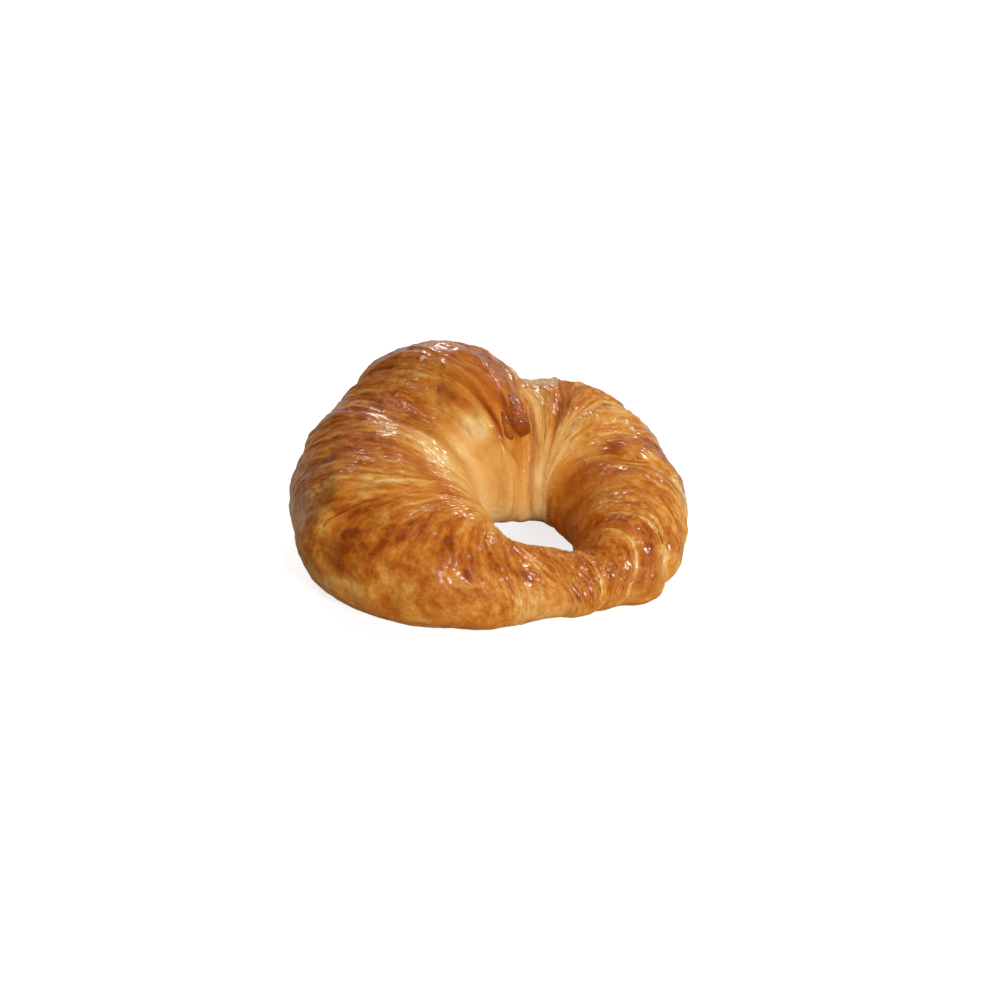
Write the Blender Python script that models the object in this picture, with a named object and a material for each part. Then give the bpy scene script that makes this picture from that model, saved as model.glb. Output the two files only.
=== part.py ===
"""A curved butter croissant whose two horns meet: one closed ring of rolled dough, in metres, +Z up.

The ring lies flat on its base round an open hole. The belly is at the back left, the horns meet at
the front right, and the dough's edges climb from each horn to the belly as a staircase of wraps.
The dough's last corner, the tongue, lies over the belly and ends in a small curled tip.
"""

import bpy
import numpy as np

NAME = "croissant"
MM = 0.001

# The ring, cut at equal angles round the hole, counterclockwise from the right (+X). Each section
# gives the hole's radius, the outer radius and the height of the crest, in millimetres.
SECTIONS = (
    (13.5, 53.5, 35.5),
    (10.5, 54.0, 36.5),
    (10.0, 56.0, 42.5),
    (9.5, 60.0, 43.0),
    (8.5, 62.5, 41.5),
    (5.5, 69.0, 53.0),
    (7.0, 73.0, 57.5),
    (12.5, 75.0, 47.5),
    (14.5, 74.5, 50.0),
    (14.5, 72.5, 47.0),
    (14.5, 60.5, 41.5),
    (15.5, 48.0, 30.5),
    (19.0, 38.5, 26.5),
    (20.5, 37.5, 23.5),
    (23.0, 43.0, 22.5),
    (18.0, 52.0, 30.5),
)
WAIST_SHARE = 0.44  # the widest level of a section, as a share of its height
BASE_DEPTH = 1.12  # how far the round underside would reach, were it not flat where it rests
BASE_POWER = 0.8  # under 1 squares the underside off

# The wraps' edges: the angle round the hole where each crosses the outer side, the crest and the
# inner side, in degrees, and the height of its lip in millimetres. Up to the joint the dough steps
# down as the angle grows, and after it the dough steps up, because both arms step down to the joint.
WRAP_EDGES = (
    ("tongue_left", 141, 138, 120, 1.4),
    ("belly_left", 146, 150, 146, 1.0),
    ("flank", 168, 172, 206, 1.5),
    ("shoulder", 187, 204, 226, 1.4),
    ("elbow", 203, 215, 236, 1.0),
    ("forearm", 263, 245, 242, 1.2),
    ("wrist", 272, 258, 251, 0.8),
    ("left_horn", 293, 269, 263, 1.1),
    ("joint", 308, 304, 297, 2.2),
    ("right_horn", 321, 327, 311, 1.0),
    ("right_wrist", 334, 336, 320, 1.8),
    ("right_forearm", 347, 353, 342, 0.9),
    ("right_elbow", 370, 375, 398, 2.0),
    ("right_shoulder", 388, 391, 401, 1.0),
    ("right_flank", 408, 410, 404, 1.0),
    ("streak", 436, 429, 408, 1.2),
    ("valley", 452, 443, 414, 1.6),
    ("tongue_right", 476, 453, 436, 2.8),
)
JOINT = 8  # the place of the joint in the list of edges
JOINT_GROOVE_MM = 1.2
PILLOW_MM = 0.9  # how far the middle of each wrap swells

# Where the wraps' relief fades: on the underside, by the rise round the section from -1 at the bottom
# to 1 at the crest, and in the hole, by section angle, because the wraps crowd together there.
UNDERSIDE_RISE = (-0.7, 0.1)
UNDERSIDE_SHARE = 0.15  # the share of the relief that is left underneath
HOLE_FADE, HOLE_RETURN = (115, 160), (230, 300)
HOLE_SHARE = 0.15  # the share that is left in the hole

# Slow unevenness of hand-rolled dough: whole waves round the ring and round the section, a phase in
# degrees and a height in millimetres.
LUMPS = ((3, 1, 20, 0.25), (5, -2, 110, 0.2), (8, 1, 180, 0.2), (11, 3, 290, 0.15), (17, -2, 50, 0.12))

# The tongue's sheet over the belly, raised between its two edges from the crest to the tip.
TONGUE_MM = 0.9
TONGUE_RISE = (25.0, 75.0)  # section angles over which it rises from the outer side
TONGUE_END = (141.0, 151.0)  # section angles over which its end drops
TONGUE_BORDER = 0.06  # the share of its width over which each edge rises

COLUMNS = 148  # mesh columns round the ring
ROWS = 36  # mesh rows round a section
ROW_CROWDING = 0.35  # crowds the rows to the crest and thins them on the flat underside
FEWEST_COLUMNS = 4  # on the narrowest wrap
LIP_INSET = 0.12  # how far a wrap's outermost columns stand in from its edges, in columns
PLAIN_RING_MM = (45, 25)  # the plain ring that the croissant starts from: its radius and its dough's

# The tip: a curled roll at the tongue's end, along three places on the crust, each the angle round
# the hole and the angle round the section (0 outer side, 90 crest, 180 inner side).
TIP_PATH = ((100.5, 80), (92.5, 101), (104, 139))
TIP_HALF_WIDTHS_MM = (2.4, 3.5, 4.9)
TIP_HALF_THICKNESS_MM = (2.6, 4.0, 4.6)
TIP_LIFT_MM = (0.6, 2.0, 3.0)
TIP_SEGMENTS, TIP_RINGS = 20, 14

# The feet: where the horns' ends spread over the table, low on the outer side. Each has its angle
# round the hole and its half width there, both in degrees, and its spread in millimetres.
FEET = (("left_horn_end", 300.0, 6.0, 2.0), ("right_horn_foot", 327.5, 5.5, 4.4))
FOOT_SECTION_ANGLE, FOOT_HALF_SECTION = -30.0, 42.0
FOOT_BLUNTNESS = 4  # over 2 squares a foot off

CRUST_COLOUR = (0.52, 0.19, 0.035, 1.0)
CRUST_ROUGHNESS = 0.38


def smooth(low, high, value):
    """0 below low, 1 above high, and a soft step between."""
    share = np.clip((value - low) / (high - low), 0.0, 1.0)
    return share * share * (3.0 - 2.0 * share)


def around(values, degrees):
    """A smooth closed curve through equally spaced values, read at any angle."""
    values = np.asarray(values, float)
    place = np.mod(degrees, 360.0) * len(values) / 360.0
    first = np.floor(place).astype(int)
    t = place - first
    a, b, c, d = (values[(first + step) % len(values)] for step in (-1, 0, 1, 2))
    bend = (2 * a - 5 * b + 4 * c - d) * t**2 + (3 * b - a - 3 * c + d) * t**3
    return 0.5 * (2 * b + (c - a) * t + bend)


def crust(ring_angle, section_angle):
    """The bare ring's round surface in millimetres, at angles in degrees, before its base is flat."""
    inner, outer, height = (around(column, ring_angle) for column in zip(*SECTIONS))
    turn = np.radians(section_angle)
    radius = (outer + inner) / 2 + (outer - inner) / 2 * np.cos(turn)
    waist = WAIST_SHARE * height
    rise = np.sin(turn)
    top = waist + (height - waist) * rise
    under = waist * (1.0 - BASE_DEPTH * np.abs(rise) ** BASE_POWER)
    z = np.where(rise >= 0, top, under)
    ring = np.radians(ring_angle)
    return np.stack([radius * np.cos(ring), radius * np.sin(ring), z], axis=-1)


def crust_frame(ring_angle, section_angle):
    """A place on the crust, with its directions along the ring, round the section and outward."""
    step = 0.5
    place = crust(ring_angle, section_angle)
    along = crust(ring_angle + step, section_angle) - crust(ring_angle - step, section_angle)
    round_it = crust(ring_angle, section_angle + step) - crust(ring_angle, section_angle - step)
    outward = np.cross(along, round_it)
    unit = [v / np.linalg.norm(v, axis=-1, keepdims=True) for v in (along, round_it, outward)]
    return place, *unit


def edge_angle(edge, section_angle):
    """The ring angle of a wrap's edge, all the way round the section."""
    _, outer, crest, inner, _ = edge
    under = (outer + inner) / 2
    turn = np.radians(section_angle)
    mean = (outer + crest + inner + under) / 4
    slant = (outer - inner) / 2 * np.cos(turn) + (crest - under) / 2 * np.sin(turn)
    return mean + slant + (outer + inner - crest - under) / 4 * np.cos(2 * turn)


def column_places():
    """For each mesh column, the wrap that it is on and how far across that wrap, 0 to 1."""
    crests = [edge[2] for edge in WRAP_EDGES]
    spans = np.diff(crests + [crests[0] + 360])
    counts = np.maximum(np.round(spans / 360 * COLUMNS).astype(int), FEWEST_COLUMNS)
    while counts.sum() > COLUMNS:
        counts[counts.argmax()] -= 1
    while counts.sum() < COLUMNS:
        counts[(spans / counts).argmax()] += 1
    wraps, shares = [], []
    for wrap, count in enumerate(counts):
        even = (np.arange(count) + LIP_INSET) / (count - 1 + 2 * LIP_INSET)
        wraps += [wrap] * count
        shares += list(0.5 - 0.5 * np.cos(np.pi * even))
    return np.array(wraps), np.array(shares)


def wrap_relief(wrap, share, section_angle):
    """How far the wraps stand out of or sink into the bare ring, in millimetres."""
    lips = np.array([edge[4] for edge in WRAP_EDGES])
    step_down = np.where(np.arange(len(lips)) <= JOINT, 1.0, -1.0)
    before, after = step_down * lips / 2, -step_down * lips / 2
    before[JOINT] -= JOINT_GROOVE_MM
    start, end = after[wrap], np.roll(before, -1)[wrap]
    level = start + (end - start) * smooth(0.0, 1.0, share) + PILLOW_MM * np.sin(np.pi * share)
    showing = smooth(*UNDERSIDE_RISE, np.sin(np.radians(section_angle)))
    in_hole = smooth(*HOLE_FADE, section_angle) * (1 - smooth(*HOLE_RETURN, section_angle))
    return level * (UNDERSIDE_SHARE + (1 - UNDERSIDE_SHARE) * showing) * (1 - (1 - HOLE_SHARE) * in_hole)


def lump_relief(ring_angle, section_angle):
    waves = 0.0
    for round_ring, round_section, phase, height in LUMPS:
        turn = round_ring * ring_angle + round_section * section_angle + phase
        waves = waves + height * np.sin(np.radians(turn))
    return waves


def tongue_relief(wrap, share, section_angle):
    sheet = smooth(0.0, TONGUE_BORDER, share) * (1 - smooth(1 - TONGUE_BORDER, 1.0, share))
    sheet = sheet * (wrap == len(WRAP_EDGES) - 1)
    return TONGUE_MM * sheet * smooth(*TONGUE_RISE, section_angle) * (1 - smooth(*TONGUE_END, section_angle))


def foot_spread(ring_angle, section_angle):
    """The feet's spread over the table, level and away from the hole."""
    turned = np.mod(section_angle - FOOT_SECTION_ANGLE + 180, 360) - 180
    low_down = np.exp(-((turned / FOOT_HALF_SECTION) ** 2))
    spread = 0.0
    for _, angle, half_angle, length in FEET:
        across = np.abs(ring_angle - angle) / half_angle
        spread = spread + length * np.exp(-(across**FOOT_BLUNTNESS)) * low_down
    ring = np.radians(ring_angle)
    return spread[..., None] * np.stack([np.cos(ring), np.sin(ring), 0 * ring], axis=-1)


def set_points(piece, points_mm):
    piece.data.vertices.foreach_set("co", (points_mm * MM).astype(np.float32).ravel())
    piece.data.update()


def make_ring():
    """The ring, from a torus whose columns are moved to follow the wraps' edges."""
    ring_radius, dough_radius = (size * MM for size in PLAIN_RING_MM)
    bpy.ops.mesh.primitive_torus_add(
        major_segments=COLUMNS, minor_segments=ROWS, major_radius=ring_radius, minor_radius=dough_radius
    )
    ring = bpy.context.object
    wrap, share = (column[:, None] for column in column_places())
    turn = 2 * np.pi * np.arange(ROWS)[None, :] / ROWS
    section_angle = np.degrees(turn + ROW_CROWDING * np.cos(turn))
    edges = np.array([edge_angle(edge, section_angle[0]) for edge in WRAP_EDGES])
    next_edges = np.vstack([edges[1:], edges[:1] + 360])
    ring_angle = edges[wrap[:, 0]] * (1 - share) + next_edges[wrap[:, 0]] * share
    section_angle = section_angle + 0 * ring_angle
    place, _, _, outward = crust_frame(ring_angle, section_angle)
    relief = wrap_relief(wrap, share, section_angle) + tongue_relief(wrap, share, section_angle)
    relief = relief + lump_relief(ring_angle, section_angle)
    points = place + outward * relief[..., None] + foot_spread(ring_angle, section_angle)
    points[..., 2] = np.maximum(points[..., 2], 0.0)
    set_points(ring, points.reshape(-1, 3))
    return ring


def make_tip():
    """The tongue's curled tip, from a sphere drawn out along its path on the crust."""
    bpy.ops.mesh.primitive_uv_sphere_add(segments=TIP_SEGMENTS, ring_count=TIP_RINGS, radius=1.0)
    tip = bpy.context.object
    unit = np.empty(len(tip.data.vertices) * 3)
    tip.data.vertices.foreach_get("co", unit)
    across, thick, along = unit.reshape(-1, 3).T
    share = (1 - along) / 2
    blunt = np.sqrt((1 + along**2) * (1 + along**4))

    def bend(values):
        first, middle, last = values
        return first * (1 - share) ** 2 + middle * 2 * share * (1 - share) + last * share**2

    ring_angle, section_angle = (bend(values) for values in zip(*TIP_PATH))
    place, ring_way, _, outward = crust_frame(ring_angle, section_angle)
    lift = bend(TIP_LIFT_MM) + thick * blunt * bend(TIP_HALF_THICKNESS_MM)
    aside = across * blunt * bend(TIP_HALF_WIDTHS_MM)
    points = place + outward * lift[:, None] + ring_way * aside[:, None]
    set_points(tip, points)
    return tip


def join(base, pieces):
    """One solid of the base and the pieces, by a Boolean union on their collection."""
    group = bpy.data.collections.new("to_join")
    bpy.context.scene.collection.children.link(group)
    for piece in pieces:
        for holder in list(piece.users_collection):
            holder.objects.unlink(piece)
        group.objects.link(piece)
    union = base.modifiers.new("join", "BOOLEAN")
    union.operation = "UNION"
    union.operand_type = "COLLECTION"
    union.collection = group
    bpy.context.view_layer.objects.active = base
    bpy.ops.object.modifier_apply(modifier=union.name)
    for piece in pieces:
        bpy.data.objects.remove(piece)
    bpy.data.collections.remove(group)


def centre_on_base(piece):
    """The origin at the middle of the outline, on the surface that the croissant rests on."""
    points = np.array([vertex.co for vertex in piece.data.vertices])
    middle = (points.min(axis=0) + points.max(axis=0)) / 2
    middle[2] = points[:, 2].min()
    piece.data.vertices.foreach_set("co", (points - middle).astype(np.float32).ravel())
    piece.data.update()


def baked_crust():
    material = bpy.data.materials.new("baked_crust")
    material.use_nodes = True
    shader = material.node_tree.nodes["Principled BSDF"]
    shader.inputs["Base Color"].default_value = CRUST_COLOUR
    shader.inputs["Roughness"].default_value = CRUST_ROUGHNESS
    shader.inputs["Metallic"].default_value = 0.0
    return material


def main():
    for old in list(bpy.data.objects):
        bpy.data.objects.remove(old)
    part = make_ring()
    join(part, [make_tip()])
    centre_on_base(part)
    part.name = part.data.name = NAME
    part.data.materials.clear()
    part.data.materials.append(baked_crust())
    part.data.shade_smooth()
    home = bpy.data.collections.new(NAME)
    bpy.context.scene.collection.children.link(home)
    for holder in list(part.users_collection):
        holder.objects.unlink(part)
    home.objects.link(part)


main()
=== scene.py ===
# %% [markdown]
# # A curved butter croissant
#
# The real object is one piece of laminated dough. A triangle of dough is rolled up, bent until its two
# horns meet, brushed with egg and baked. This lesson dresses the imported solid: it rebuilds the same form
# from the same sizes with a much finer skin, and gives it a baked crust. The frame is loaded first,
# because every size and place comes from it, and its box is kept for the finished form to fill.

import bpy
import numpy as np
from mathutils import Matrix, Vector, noise


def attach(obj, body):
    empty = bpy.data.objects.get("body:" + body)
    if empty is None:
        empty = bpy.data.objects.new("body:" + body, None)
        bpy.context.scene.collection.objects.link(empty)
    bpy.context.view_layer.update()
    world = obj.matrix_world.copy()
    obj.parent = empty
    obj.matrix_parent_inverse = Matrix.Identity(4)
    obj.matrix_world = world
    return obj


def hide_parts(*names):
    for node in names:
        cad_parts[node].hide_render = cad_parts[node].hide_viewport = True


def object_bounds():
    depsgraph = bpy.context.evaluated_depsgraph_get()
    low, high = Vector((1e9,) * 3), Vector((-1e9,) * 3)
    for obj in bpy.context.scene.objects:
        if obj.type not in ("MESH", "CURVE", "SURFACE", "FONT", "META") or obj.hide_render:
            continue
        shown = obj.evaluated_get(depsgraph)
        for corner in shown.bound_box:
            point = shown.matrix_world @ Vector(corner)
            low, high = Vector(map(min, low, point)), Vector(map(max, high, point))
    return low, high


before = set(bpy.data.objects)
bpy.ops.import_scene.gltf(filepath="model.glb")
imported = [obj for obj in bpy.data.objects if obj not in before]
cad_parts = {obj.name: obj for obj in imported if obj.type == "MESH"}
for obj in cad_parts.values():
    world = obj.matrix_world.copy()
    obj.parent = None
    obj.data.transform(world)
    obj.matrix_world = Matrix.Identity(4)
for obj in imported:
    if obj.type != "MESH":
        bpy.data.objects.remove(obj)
cad_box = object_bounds()
MM = 0.001
print("solid, in mm:", [[round(value / MM, 1) for value in corner] for corner in cad_box])

# %% [markdown]
# ## The form of the ring
#
# The croissant is a closed ring of dough of uneven thickness. Sixteen sections, cut at equal angles round
# the hole from the right, say how far the dough reaches and how high it stands. A smooth curve through
# them gives the section anywhere. A form worked out by functions is chosen over sculpting, because the
# skin's fine detail can then follow the way the dough was rolled.

# %% Sizes of the sections
# Radius of the hole, outer radius and height of the crest, in millimetres.
SECTIONS = (
    (13.5, 53.5, 35.5),
    (10.5, 54.0, 36.5),
    (10.0, 56.0, 42.5),
    (9.5, 60.0, 43.0),
    (8.5, 62.5, 41.5),
    (5.5, 69.0, 53.0),
    (7.0, 73.0, 57.5),
    (12.5, 75.0, 47.5),
    (14.5, 74.5, 50.0),
    (14.5, 72.5, 47.0),
    (14.5, 60.5, 41.5),
    (15.5, 48.0, 30.5),
    (19.0, 38.5, 26.5),
    (20.5, 37.5, 23.5),
    (23.0, 43.0, 22.5),
    (18.0, 52.0, 30.5),
)
# A section is widest at its waist, this share of the way up. Its base would reach a little below the
# table, which presses it flat, and the power fills its lower corners.
WAIST_SHARE = 0.44
BASE_DEPTH = 1.12
BASE_POWER = 0.8

# %% The bare ring
def smooth(low, high, value):
    """0 below low, 1 above high, and a soft step between."""
    share = np.clip((value - low) / (high - low), 0.0, 1.0)
    return share * share * (3.0 - 2.0 * share)


def mix(first, second, share):
    """The first value where the share is 0, and the second where it is 1."""
    return first + (second - first) * share


def around(values, degrees):
    """A smooth closed curve through equally spaced values, read at any angle."""
    values = np.asarray(values, float)
    place = np.mod(degrees, 360.0) * len(values) / 360.0
    first = np.floor(place).astype(int)
    t = place - first
    a, b, c, d = (values[(first + step) % len(values)] for step in (-1, 0, 1, 2))
    bend = (2 * a - 5 * b + 4 * c - d) * t**2 + (3 * b - a - 3 * c + d) * t**3
    return 0.5 * (2 * b + (c - a) * t + bend)


def bare_crust(ring_angle, section_angle):
    """The ring without relief, in millimetres: 0 is its outer side, 90 the crest, 180 the inner side."""
    inner, outer, height = (around(column, ring_angle) for column in zip(*SECTIONS))
    turn = np.radians(section_angle)
    radius = (outer + inner) / 2 + (outer - inner) / 2 * np.cos(turn)
    waist = WAIST_SHARE * height
    rise = np.sin(turn)
    top = waist + (height - waist) * rise
    under = waist * (1.0 - BASE_DEPTH * np.abs(rise) ** BASE_POWER)
    level = np.where(rise >= 0, top, under)
    ring = np.radians(ring_angle)
    return np.stack([radius * np.cos(ring), radius * np.sin(ring), level], axis=-1)


def crust_directions(ring_angle, section_angle):
    """A place on the bare crust, with its directions along the ring, round the section and outward."""
    step = 0.5
    along = bare_crust(ring_angle + step, section_angle) - bare_crust(ring_angle - step, section_angle)
    round_it = bare_crust(ring_angle, section_angle + step) - bare_crust(ring_angle, section_angle - step)
    outward = np.cross(along, round_it)
    directions = (along, round_it, outward)
    unit = [way / np.linalg.norm(way, axis=-1, keepdims=True) for way in directions]
    return bare_crust(ring_angle, section_angle), *unit


crest_angles = np.arange(0.0, 360.0, 5.0)
crest = bare_crust(crest_angles, np.full_like(crest_angles, 90.0))
print("crest from", round(crest[:, 2].min(), 1), "to", round(crest[:, 2].max(), 1), "mm high")

# %% [markdown]
# ## The wraps
#
# Rolling the triangle up leaves its edges as a staircase: each wrap's edge crosses the outer side, the
# crest and the inner side of the ring at its own angles. Below each lip the cut edge of the dough shows
# as a pale, finely layered band, while the skin above the lip was brushed with egg and baked brown. Each
# row here is one edge, and it also says how the wrap that starts there has baked.

# %% Edges of the wraps
# Name; angle round the hole at the outer side, the crest and the inner side; lip in millimetres and how
# crisp it is (0 fused to the dough below, 1 free). Then, for the wrap that follows, how brown it is (0 to
# 1) on its outer side, its crest and its inner side; the width in millimetres of the band under the lip
# and how brown that is; and how strongly its thin layers show.
WRAPS = (
    ("tongue_left", 141, 138, 120, 1.6, 0.10, 0.48, 0.60, 0.34, 3.0, 0.44, 0.5),
    ("belly_left", 146, 150, 146, 0.8, 0.10, 0.18, 0.72, 0.34, 2.0, 0.60, 0.5),
    ("flank", 168, 172, 206, 1.1, 0.20, 0.55, 0.71, 0.28, 5.0, 0.44, 0.8),
    ("shoulder", 187, 204, 226, 1.1, 0.25, 0.62, 0.48, 0.34, 6.0, 0.34, 0.8),
    ("elbow", 203, 215, 236, 1.7, 0.20, 0.70, 0.70, 0.38, 1.0, 0.60, 0.4),
    ("forearm", 263, 245, 242, 1.0, 0.35, 0.40, 0.62, 0.34, 2.0, 0.54, 0.5),
    ("wrist", 272, 258, 251, 0.8, 0.35, 0.40, 0.74, 0.46, 2.0, 0.62, 0.6),
    ("left_horn", 293, 269, 263, 1.0, 0.35, 0.66, 0.70, 0.40, 3.0, 0.50, 0.5),
    ("joint", 308, 304, 297, 2.2, 0.70, 0.64, 0.72, 0.70, 1.0, 0.50, 0.4),
    ("right_horn", 321, 327, 311, 1.0, 0.10, 0.69, 0.74, 0.72, 1.5, 0.38, 0.4),
    ("right_wrist", 334, 336, 320, 1.8, 0.95, 0.46, 0.54, 0.64, 2.0, 0.40, 0.7),
    ("right_forearm", 347, 353, 342, 0.8, 0.20, 0.27, 0.65, 0.72, 2.0, 0.50, 0.7),
    ("right_elbow", 370, 375, 398, 1.8, 0.70, 0.46, 0.67, 0.36, 2.0, 0.42, 0.5),
    ("right_shoulder", 388, 391, 401, 0.9, 0.20, 0.46, 0.38, 0.14, 4.0, 0.28, 0.7),
    ("right_flank", 408, 410, 404, 0.9, 0.30, 0.45, 0.63, 0.14, 2.0, 0.42, 0.6),
    ("streak", 436, 429, 408, 1.0, 0.20, 0.45, 0.36, 0.34, 2.0, 0.34, 0.5),
    ("valley", 452, 443, 414, 1.4, 0.40, 0.48, 0.32, 0.26, 3.0, 0.24, 0.5),
    ("tongue_right", 476, 453, 436, 2.6, 0.80, 0.60, 0.74, 0.50, 1.0, 0.66, 0.7),
)
NAME, AT_OUTER, AT_CREST, AT_INNER, LIP_MM, LIP_CRISPNESS = range(6)
OUTER_TONE, CREST_TONE, INNER_TONE, BAND_MM, BAND_TONE, LAYERING = range(6, 12)
WRAP_NAMES = [row[NAME] for row in WRAPS]
JOINT = WRAP_NAMES.index("joint")


def wrap_column(column):
    """One column of the wraps' table."""
    return np.array([row[column] for row in WRAPS])


def edge_angle(row, section_angle):
    """The ring angle of a wrap's edge, all the way round the section."""
    outer, crest, inner = row[AT_OUTER], row[AT_CREST], row[AT_INNER]
    under = (outer + inner) / 2
    turn = np.radians(section_angle)
    mean = (outer + crest + inner + under) / 4
    slant = (outer - inner) / 2 * np.cos(turn) + (crest - under) / 2 * np.sin(turn)
    return mean + slant + (outer + inner - crest - under) / 4 * np.cos(2 * turn)


crest_edges = wrap_column(AT_CREST)
CREST_SPANS = np.diff(np.append(crest_edges, crest_edges[0] + 360))
print(len(WRAPS), "wraps, the widest", CREST_SPANS.max(), "degrees at the crest")

# %% [markdown]
# ## The fine skin
#
# The skin is a flat grid that is rolled into a tube and bent into a ring, because the torus primitive
# stops at 256 columns. Its columns lie along the wraps' edges, crowded where a lip needs them. Just under
# 100,000 four-sided faces are enough for relief down to about half a millimetre, and anything finer is
# left to the material.

# %% Columns and rows
COLUMNS = 640
ROWS = 156
ROW_CROWDING = 0.50
LIP_CROWDING = 0.55
# Three quarters of the columns are shared out by the wraps' widths. Each wrap gets ten more, because its
# lip needs them however narrow it is.
SHARED_OUT = 0.75
EXTRA_COLUMNS = 10
FEWEST_COLUMNS = 12
EDGE_GAP = 0.1
CREST_RADIUS_MM = 42.0


def column_places():
    """For each mesh column, the wrap that it is on and how far across that wrap, 0 to 1."""
    counts = np.round(CREST_SPANS / 360 * COLUMNS * SHARED_OUT + EXTRA_COLUMNS).astype(int)
    counts = np.maximum(counts, FEWEST_COLUMNS)
    while counts.sum() > COLUMNS:
        counts[counts.argmax()] -= 1
    while counts.sum() < COLUMNS:
        counts[(CREST_SPANS / counts).argmax()] += 1
    wraps, shares = [], []
    for wrap, count in enumerate(counts):
        even = (np.arange(count) + EDGE_GAP) / (count - 1 + 2 * EDGE_GAP)
        crowded = 0.5 - 0.5 * np.cos(np.pi * even)
        wraps += [wrap] * count
        shares += list(mix(even, crowded, LIP_CROWDING))
    return np.array(wraps)[:, None], np.array(shares)[:, None]


WRAP, SHARE = column_places()
ON_WRAP = WRAP[:, 0]
row_turn = 2 * np.pi * np.arange(ROWS)[None, :] / ROWS
SECTION = np.degrees(row_turn + ROW_CROWDING * np.cos(row_turn))
EDGES = np.array([edge_angle(row, SECTION[0]) for row in WRAPS])
EDGES = np.vstack([EDGES, EDGES[:1] + 360])
RING = mix(EDGES[ON_WRAP], EDGES[ON_WRAP + 1], SHARE)
SECTION = SECTION + 0 * RING
PLACE, ALONG, _, OUTWARD = crust_directions(RING, SECTION)
spacing_mm = 2 * np.pi * CREST_RADIUS_MM / COLUMNS
print("mean column spacing at the crest:", round(spacing_mm, 2), "mm")

# %% [markdown]
# ## Unevenness
#
# Nothing on baked dough is regular. All the unevenness comes from smooth random fields. Some are the same
# in all directions, like blisters. Others are stretched along the wraps' edges, like the wrinkles and thin
# layers of stretched dough. They start at the joint, so that the two ends of the dough don't match there.
# Towards the hole the wraps crowd together, and their relief gets narrower and lower with them.

# %% Random fields
SEED_SHIFT = 7.31
FIELD_GAIN = 1.6
DOUGH_RADIUS_MM = 25.0


def field(points, seed, octaves=3):
    """Smooth random values of about -1 to 1, with bumps about one unit wide."""
    flat = points.reshape(-1, 3) + SEED_SHIFT * seed
    values = [noise.fractal(Vector(point), 1.0, 2.0, octaves) for point in flat]
    return np.array(values).reshape(points.shape[:-1]) * FIELD_GAIN


WRAP_STARTS_MM = np.radians(np.concatenate([[0.0], np.cumsum(CREST_SPANS)])) * CREST_RADIUS_MM
ROUND_TRIP_MM = WRAP_STARTS_MM[-1]
RING_MM = WRAP_STARTS_MM[WRAP] + SHARE * np.radians(CREST_SPANS[WRAP]) * CREST_RADIUS_MM
FROM_JOINT_MM = np.mod(RING_MM - WRAP_STARTS_MM[JOINT], ROUND_TRIP_MM)
AROUND_DOUGH = np.radians(SECTION)


def layered_field(across_mm, around_mm, seed, octaves=3):
    """A random field stretched along the wraps' edges: bumps across_mm wide and around_mm long."""
    girth = DOUGH_RADIUS_MM / around_mm
    own_place = FROM_JOINT_MM / across_mm + 0 * SECTION
    round_x, round_y = girth * np.cos(AROUND_DOUGH), girth * np.sin(AROUND_DOUGH)
    return field(np.stack([own_place, round_x, round_y], axis=-1), seed, octaves)


# %% The fields of this crust
blisters = field(PLACE / 11.0, 1)
pits = field(PLACE / 2.8, 2, 2)
crackle = field(PLACE / 1.5, 9, 2)
patches = layered_field(7.0, 14.0, 8)
folds = np.abs(layered_field(6.0, 17.0, 3, 2))
wrinkles = layered_field(2.4, 8.0, 4)
fine_wrinkles = layered_field(1.3, 4.0, 5, 2)
streaks = layered_field(2.4, 14.0, 6, 3)
wander = layered_field(14.0, 22.0, 7, 2)
RADIUS_MM = np.hypot(PLACE[..., 0], PLACE[..., 1])
HOLE_CALM_MM = (8.0, 20.0)
NARROWING_POWER = 1.2
near_hole = mix(0.3, 1.0, smooth(*HOLE_CALM_MM, RADIUS_MM))
NARROWING = np.clip(RADIUS_MM / CREST_RADIUS_MM, 0.1, 1.0) ** NARROWING_POWER * near_hole
print("fields made for", RING.size, "points")

# %% [markdown]
# ## Lips and layers
#
# A lip is the rounded edge of the upper wrap, standing over the lower one. Its height wanders along the
# edge, and here and there it is baked fast to the dough below. Past the lip, thin layers of the cut edge
# step down like shingles. The heights are worked out point by point, since no single modifier knows which
# way each wrap lies over the next.

# %% Distances to the edges
# A wrap's low edge runs under its neighbour's lip, and its high edge is a lip of its own. From the tongue
# to the joint the dough steps down past each edge, and from the joint back to the tongue it steps up.
STEP_DOWN = np.where(np.arange(len(WRAPS)) <= JOINT, 1.0, -1.0)
FAR_MM = 1000.0


def local_mm(degrees):
    """Degrees of ring angle as real millimetres on the bare crust."""
    return degrees * np.pi / 180 * RADIUS_MM


def next_edge(values):
    """For every column, the value of the edge at its wrap's end."""
    return np.roll(values, -1, axis=0)[ON_WRAP]


SPAN = EDGES[ON_WRAP + 1] - EDGES[ON_WRAP]
FROM_START = local_mm(SHARE * SPAN)
TO_END = local_mm((1 - SHARE) * SPAN)
START_IS_LOW = (STEP_DOWN[WRAP] == 1) + 0.0 * SPAN
END_IS_LOW = (np.roll(STEP_DOWN, -1)[WRAP] == -1) + 0.0 * SPAN
END_IS_LOW[ON_WRAP == len(WRAPS) - 1] = 0.0
FROM_LOW = np.minimum(FROM_START + FAR_MM * (1 - START_IS_LOW), TO_END + FAR_MM * (1 - END_IS_LOW))
FROM_HIGH = np.minimum(FROM_START + FAR_MM * START_IS_LOW, TO_END + FAR_MM * END_IS_LOW)
print("the farthest point from a low edge:", round(float(FROM_LOW[FROM_LOW < FAR_MM].max()), 1), "mm")

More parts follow.
